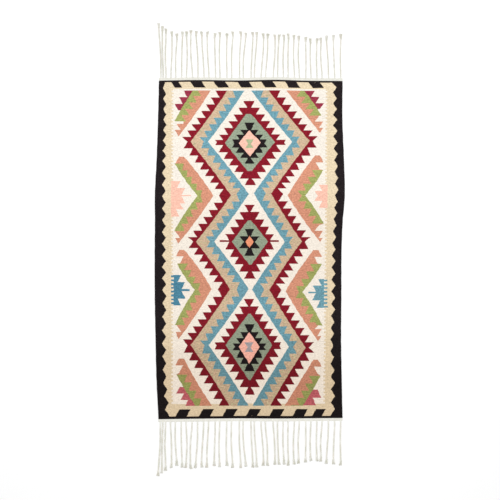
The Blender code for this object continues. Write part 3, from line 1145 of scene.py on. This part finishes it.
class YarnMesh:
    """Collects the points and faces of many tubes."""

    def __init__(self):
        self.points = []
        self.faces = []

    def tube(self, rings):
        """Adds a closed tube through rings of points, its two ends capped. None dips below z = 0."""
        base = len(self.points)
        around = len(rings[0])
        for ring in rings:
            self.points += [np.array((x, y, max(z, 0.0))) for x, y, z in ring]
        for row in range(len(rings) - 1):
            start = base + row * around
            for n in range(around):
                following = (n + 1) % around
                self.faces.append((start + n, start + following,
                                   start + around + following, start + around + n))
        self.faces.append(tuple(base + n for n in reversed(range(around))))
        last = base + (len(rings) - 1) * around
        self.faces.append(tuple(last + n for n in range(around)))


def to_the_right(forward):
    """The level direction to the right of a level forward direction."""
    sideways = np.array((forward[1], -forward[0], 0.0))
    return sideways / np.linalg.norm(sideways)


def ring_round(centre, sideways, upward, section):
    """A ring of points round a centre, from the (sideways, up) places of its section."""
    return [centre + sideways * a + upward * b for a, b in section]


def round_section(radius, count):
    """The points of a round section."""
    turns = [2 * math.pi * n / count for n in range(count)]
    return [(radius * math.cos(turn), radius * math.sin(turn)) for turn in turns]


# %% One plied strand
PLIES = 3
SECTION_POINTS = 12
SECTION_STEP = 1.6 * MM
TWIST_LENGTH = 26.0 * MM
PLY_DEPTH = 0.16
BACK_OF_KNOT = 25.0 * MM
FRONT_OF_KNOT = 16.0 * MM
# A strand starts flatter inside the heading and gathers to its full size
GATHERING_LENGTH = 10.0 * MM
ROOT_WIDTH_SHARE = 0.72
ROOT_HEIGHT_SHARE = 0.60
GLANCE_AHEAD = 0.01


class Strand:
    """The line that one strand's middle follows on the floor, from its root to its tip."""

    def __init__(self, shape, root_y, tip_y):
        self.root, self.tip, self.bow, _ = shape
        self.root_y = root_y
        self.tip_y = tip_y
        self.length = abs(tip_y - root_y)

    def place(self, walked):
        """The place at a share of the way from the root."""
        eased = walked * walked * (3 - 2 * walked)
        bow = self.bow * math.sin(math.pi * walked) ** 2
        x = self.root + (self.tip - self.root) * eased + bow
        return np.array((x, self.root_y + (self.tip_y - self.root_y) * walked, 0.0))

    def before_tip(self, distance):
        """The place at a distance before the tip."""
        return self.place(1 - distance / self.length)


def plied_section(width, height, turned):
    """The section of three plies, turned by an angle, as (sideways, up) from the strand's middle."""
    section = []
    for n in range(SECTION_POINTS):
        angle = 2 * math.pi * n / SECTION_POINTS
        lobe = 1 - PLY_DEPTH + PLY_DEPTH * math.cos(PLIES * (angle - turned))
        section.append((width / 2 * lobe * math.cos(angle), height / 2 * lobe * math.sin(angle)))
    return section


def add_shank(yarn, strand, phase):
    """The strand from inside the heading to just past its knot."""
    stop = 1 - FRONT_OF_KNOT / strand.length
    count = math.ceil(stop * strand.length / SECTION_STEP)
    rings = []
    for step in range(count + 1):
        walked = stop * step / count
        distance = walked * strand.length
        centre = strand.place(walked)
        ahead = strand.place(min(1.0, walked + GLANCE_AHEAD)) - centre
        gathered = min(1.0, distance / GATHERING_LENGTH)
        width = STRAND_WIDTH * (ROOT_WIDTH_SHARE + (1 - ROOT_WIDTH_SHARE) * gathered)
        height = STRAND_HEIGHT * (ROOT_HEIGHT_SHARE + (1 - ROOT_HEIGHT_SHARE) * gathered)
        section = plied_section(width, height, phase + 2 * math.pi * distance / TWIST_LENGTH)
        rings.append(ring_round(centre + UPWARD * height / 2, to_the_right(ahead), UPWARD, section))
    yarn.tube(rings)


# %% The knot and the tuft beyond it
KNOT_TURNS = 2.1
KNOT_STEPS = 26
KNOT_YARN = 3.8 * MM
KNOT_SECTION_POINTS = 8
KNOT_AIMED_FROM = 0.95
# The turns are narrower, and the yarn thinner, where the knot begins and ends
KNOT_END_SHARE = 0.82
KNOT_YARN_END_SHARE = 0.9

TUFT_ENDS = 11
TUFT_STEPS = 5
TUFT_SKEW = 2.5 * MM
TUFT_SPREAD_SHARE = 0.55
TUFT_IN_KNOT = 2.0 * MM
BUNDLE_SPREAD = 2.0 * MM
END_WIDTH = 2.2 * MM
END_TAPER = 0.35
END_SECTION_POINTS = 5
END_SIDE_SCATTER = 0.6 * MM
END_BEND = 1.2 * MM
CUT_HEIGHTS = (0.8 * MM, 2.2 * MM)
KNOT_EXIT_HEIGHTS = (2.2 * MM, 4.4 * MM)
END_REACHES = (0.80, 1.0)
FLARE_POWER = 0.7


def add_knot(yarn, strand, phase):
    """The strand's end wound twice round itself, which is how an overhand knot looks outside."""
    forward = strand.place(1.0) - strand.place(KNOT_AIMED_FROM)
    forward /= np.linalg.norm(forward)
    sideways = to_the_right(forward)
    start = strand.before_tip(BACK_OF_KNOT - KNOT_YARN / 2)
    travel = BACK_OF_KNOT - FRONT_OF_KNOT - KNOT_YARN
    wide = (KNOT_WIDTH - KNOT_YARN) / 2
    high = (KNOT_HEIGHT - KNOT_YARN) / 2
    rings = []
    for step in range(KNOT_STEPS + 1):
        walked = step / KNOT_STEPS
        angle = phase + 2 * math.pi * KNOT_TURNS * walked
        bulge = math.sin(math.pi * walked)
        swell = KNOT_END_SHARE + (1 - KNOT_END_SHARE) * bulge
        outward = sideways * math.cos(angle) + UPWARD * math.sin(angle)
        centre = (start + forward * travel * walked + sideways * wide * swell * math.cos(angle)
                  + UPWARD * (KNOT_HEIGHT / 2 + high * swell * math.sin(angle)))
        radius = KNOT_YARN / 2 * (KNOT_YARN_END_SHARE + (1 - KNOT_YARN_END_SHARE) * bulge)
        section = round_section(radius, KNOT_SECTION_POINTS)
        rings.append(ring_round(centre, outward, forward, section))
    yarn.tube(rings)


def add_tuft(yarn, strand, scatter):
    """The cut ends beyond the knot: loose warp ends that spread out flat on the floor."""
    start = strand.before_tip(FRONT_OF_KNOT + TUFT_IN_KNOT)
    forward = strand.place(1.0) - start
    reach = float(np.linalg.norm(forward))
    forward /= reach
    sideways = to_the_right(forward)
    skew = scatter.uniform(-TUFT_SKEW, TUFT_SKEW)
    for number in range(TUFT_ENDS):
        spread = (number / (TUFT_ENDS - 1) - 0.5) * 2
        off_line = scatter.uniform(-END_SIDE_SCATTER, END_SIDE_SCATTER)
        end_side = spread * TUFT_SPREAD_SHARE * TUFT_WIDTH + skew + off_line
        end_height = scatter.uniform(*CUT_HEIGHTS)
        start_height = scatter.uniform(*KNOT_EXIT_HEIGHTS)
        own_reach = reach * scatter.uniform(*END_REACHES)
        bend = scatter.uniform(-END_BEND, END_BEND)
        rings = []
        for step in range(TUFT_STEPS + 1):
            walked = step / TUFT_STEPS
            flare = walked ** FLARE_POWER
            side_way = end_side * flare + spread * BUNDLE_SPREAD * (1 - flare)
            side_way += bend * math.sin(math.pi * walked)
            height = start_height + (end_height - start_height) * walked
            centre = start + forward * own_reach * walked + sideways * side_way + UPWARD * height
            radius = END_WIDTH / 2 * (1.0 - END_TAPER * walked)
            section = round_section(radius, END_SECTION_POINTS)
            rings.append(ring_round(centre, sideways, UPWARD, section))
        yarn.tube(rings)


# %% The heading: a few rows of plain weave in undyed yarn
HEADING_ROWS = 6
HEADING_RIBS = 166
STEPS_PER_ROW = 3
HEADING_RIM_TOP = 1.6 * MM
HEADING_RIM_BOTTOM = 0.6 * MM
# How the strip's thickness is shared by its ground, the swell of each row and the beads on it
GROUND_SHARE = 0.66
ROW_SHARE = 0.14
BEAD_SHARE = 0.20
ROOT_IN_HEADING = 0.7


def heading_top(rib_share, row_share):
    """Height of the heading's top: weft over a warp and under the next, offset row by row."""
    row = min(int(row_share * HEADING_ROWS), HEADING_ROWS - 1)
    over_row = math.sin(math.pi * (row_share * HEADING_ROWS - row))
    phase = rib_share * HEADING_RIBS * math.pi + row * math.pi
    bead = 0.5 + 0.5 * math.cos(phase)
    return HEADING_THICKNESS * (GROUND_SHARE + ROW_SHARE * over_row + BEAD_SHARE * bead * over_row)


def add_heading(yarn, end):
    """A closed strip with a beaded top and a plain underside."""
    left, right = end_span(end)
    columns = HEADING_RIBS * 2
    rows = HEADING_ROWS * STEPS_PER_ROW
    base = len(yarn.points)
    for row in range(rows + 1):
        offset = HEADING_GAP + HEADING_WIDTH * row / rows
        for number in range(columns + 1):
            share = number / columns
            x = left + (right - left) * share
            y = end_y(end, share) + end * offset
            on_rim = row in (0, rows) or number in (0, columns)
            top = HEADING_RIM_TOP if on_rim else heading_top(share, row / rows)
            bottom = HEADING_RIM_BOTTOM if on_rim else 0.0
            yarn.points += [np.array((x, y, top)), np.array((x, y, bottom))]

    def corner(row, number, low):
        return base + 2 * (row * (columns + 1) + number) + low

    for row in range(rows):
        for number in range(columns):
            for low in (0, 1):
                face = [corner(row, number, low), corner(row, number + 1, low),
                        corner(row + 1, number + 1, low), corner(row + 1, number, low)]
                yarn.faces.append(tuple(face if (low == 0) == (end > 0) else face[::-1]))
    rim = [(0, n) for n in range(columns)] + [(n, columns) for n in range(rows)]
    rim += [(rows, n) for n in range(columns, 0, -1)] + [(n, 0) for n in range(rows, 0, -1)]
    for place, following in zip(rim, rim[1:] + rim[:1]):
        face = [corner(*place, 1), corner(*following, 1), corner(*following, 0), corner(*place, 0)]
        yarn.faces.append(tuple(face if end > 0 else face[::-1]))


# %% Building both fringes
def build_fringe(name, end):
    """One fringe as one mesh: heading, strands, knots and tufts."""
    left, right = end_span(end)
    scatter = random.Random(STRAND_SEED + 2 + end)
    yarn = YarnMesh()
    add_heading(yarn, end)
    for shape in strand_shapes(left, right):
        root_share = (shape[0] - left) / (right - left)
        into_heading = HEADING_GAP + HEADING_WIDTH * ROOT_IN_HEADING
        root_y = float(end_y(end, root_share)) + end * into_heading
        strand = Strand(shape, root_y, end * (WOVEN_LENGTH / 2 + shape[3]))
        phase = scatter.uniform(0, 2 * math.pi)
        add_shank(yarn, strand, phase)
        add_knot(yarn, strand, phase)
        add_tuft(yarn, strand, scatter)
    mesh = bpy.data.meshes.new(name)
    mesh.from_pydata([tuple(point) for point in yarn.points], [], yarn.faces)
    mesh.shade_smooth()
    print(name, "triangles:", triangle_count(mesh))
    return add_object(name, mesh)


far_fringe = build_fringe("knotted_fringe_far", 1)
near_fringe = build_fringe("knotted_fringe_near", -1)

# %% [markdown]
# ### Undyed warp yarn
#
# The warp is undyed, a warm white. Handling has left greyish and beige stretches along the
# strands, a little darker at the far end, while the heading and the roots beside it have stayed
# paler. The fibres run along the ply, so the fine bump is drawn out along the yarn.

# %% The finish of the fringe
PALE_TO = 0.765
HANDLED_FROM = 0.80
PALE_SHARE = 0.25
WARP_WHITE = (231, 230, 222)
# What handling has left on the strands: each colour, and the grain of its blotches
HANDLED = (((221, 214, 202), (75.0, 42.0, 20.0)), ((208, 208, 193), (95.0, 31.0, 20.0)))
BLOTCH_SHARE = 0.75
WARP_GRAIN = (2200.0, 500.0, 2200.0)
WARP_MOTTLE = 0.10
NEAR_LIGHTNESS = 1.02
FAR_LIGHTNESS = 0.95
UNDYED_ROUGHNESS = (0.84, 0.96)
UNDYED_SPECULAR = 0.2
FIBRE_DEPTH = 0.25 * MM
FIBRE_BUMP = 0.7


def undyed_yarn(name, base_colour, stretches):
    """Warm white yarn with dirtier stretches, each stretch in one of a few colours."""
    nodes = Nodes(name)
    place = nodes.tree.nodes.new("ShaderNodeTexCoord").outputs["Object"]
    _, along = nodes.parts(place)
    from_middle = nodes.math("ABSOLUTE", along)
    handled = nodes.remap(from_middle, PALE_TO, HANDLED_FROM, PALE_SHARE, 1.0)
    fibres = nodes.noise(place, WARP_GRAIN)
    colour = linear(base_colour)
    for soil_and_painted_shade, grain in stretches:
        blotches = nodes.remap(nodes.noise(place, grain), *BLOTCH_RANGE, 0.0, BLOTCH_SHARE)
        colour = nodes.mix(nodes.math("MULTIPLY", blotches, handled), colour, linear(soil_and_painted_shade))
    colour = nodes.shaded(colour, fibres, *NOISE_RANGE, 1 - WARP_MOTTLE, 1 + WARP_MOTTLE)
    colour = nodes.shaded(colour, along, -1.0, 1.0, NEAR_LIGHTNESS, FAR_LIGHTNESS)
    nodes.wool_surface(colour, fibres, UNDYED_ROUGHNESS, UNDYED_SPECULAR, fibres, FIBRE_DEPTH,
                       FIBRE_BUMP)
    return nodes.material


warp_yarn = undyed_yarn("undyed_warp", WARP_WHITE, HANDLED)
for fringe in (far_fringe, near_fringe):
    fringe.data.materials.append(warp_yarn)

# %% [markdown]
# ## The pieces in the frame
#
# Each detailed piece now stands for its plain solid, which is hidden. All of them ride on the rug's
# one body.

# %% Replacing the solids
for piece, node, slot in ((kilim, "kilim_cloth", "woven_wool"),
                          (far_fringe, "fringe_far", "warp_fringe"),
                          (near_fringe, "fringe_near", "warp_fringe")):
    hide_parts(node)
    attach(piece, "root")

# %% [markdown]
# ## Floor, light and camera
#
# The rug lies on a plain near-white floor. One broad lamp hangs high above it, a little towards the
# far end, and an even white surround fills the rest and keeps the shadows faint. The camera looks
# straight down through a long lens, from so high that perspective hardly shows.

# %% The floor
FLOOR_SIZE = 14.0
FLOOR_DROP = 0.5 * MM
FLOOR_COLOUR = (0.96, 0.96, 0.96, 1.0)
FLOOR_ROUGHNESS = 0.9
FLOOR_SPECULAR = 0.1
floor_mesh = bpy.data.meshes.new("studio_floor")
half_floor = FLOOR_SIZE / 2
floor_mesh.from_pydata([(-half_floor, -half_floor, 0), (half_floor, -half_floor, 0),
                        (half_floor, half_floor, 0), (-half_floor, half_floor, 0)], [], [(0, 1, 2, 3)])
floor = add_object("studio_floor", floor_mesh)
floor.location.z = -FLOOR_DROP
floor_paint = Nodes("floor_paint")
floor_paint.shader.inputs["Base Color"].default_value = FLOOR_COLOUR
floor_paint.shader.inputs["Roughness"].default_value = FLOOR_ROUGHNESS
floor_paint.shader.inputs["Specular IOR Level"].default_value = FLOOR_SPECULAR
floor_mesh.materials.append(floor_paint.material)

# %% The light
SURROUND = 0.70
LAMP_POWER = 92.0
LAMP_SIZE = 1.6
LAMP_PLACE = (0.0, 0.9, 4.2)
world = bpy.data.worlds.new("studio_surround")
world.use_nodes = True
background = world.node_tree.nodes["Background"]
background.inputs["Color"].default_value = (1.0, 1.0, 1.0, 1.0)
background.inputs["Strength"].default_value = SURROUND
bpy.context.scene.world = world

lamp = bpy.data.lights.new("broad_lamp", "AREA")
lamp.shape = "SQUARE"
lamp.size = LAMP_SIZE
lamp.energy = LAMP_POWER
lamp_stand = add_object("broad_lamp", lamp)
lamp_stand.location = LAMP_PLACE
lamp_stand.rotation_euler = Vector(LAMP_PLACE).to_track_quat("Z", "Y").to_euler()

# %% The camera, straight above
FRAME_WIDTH = 2.22
LENS = 85.0
SENSOR = 36.0
CAMERA_X = 1.3 * MM
CAMERA_Y = -1.8 * MM
camera_data = bpy.data.cameras.new("overhead_camera")
camera_data.lens = LENS
camera_data.sensor_width = SENSOR
camera = add_object("overhead_camera", camera_data)
camera.location = (CAMERA_X, CAMERA_Y, FRAME_WIDTH * LENS / SENSOR)
bpy.context.scene.camera = camera
bpy.context.scene.view_settings.view_transform = "Standard"
print("camera height:", round(camera.location.z, 3))
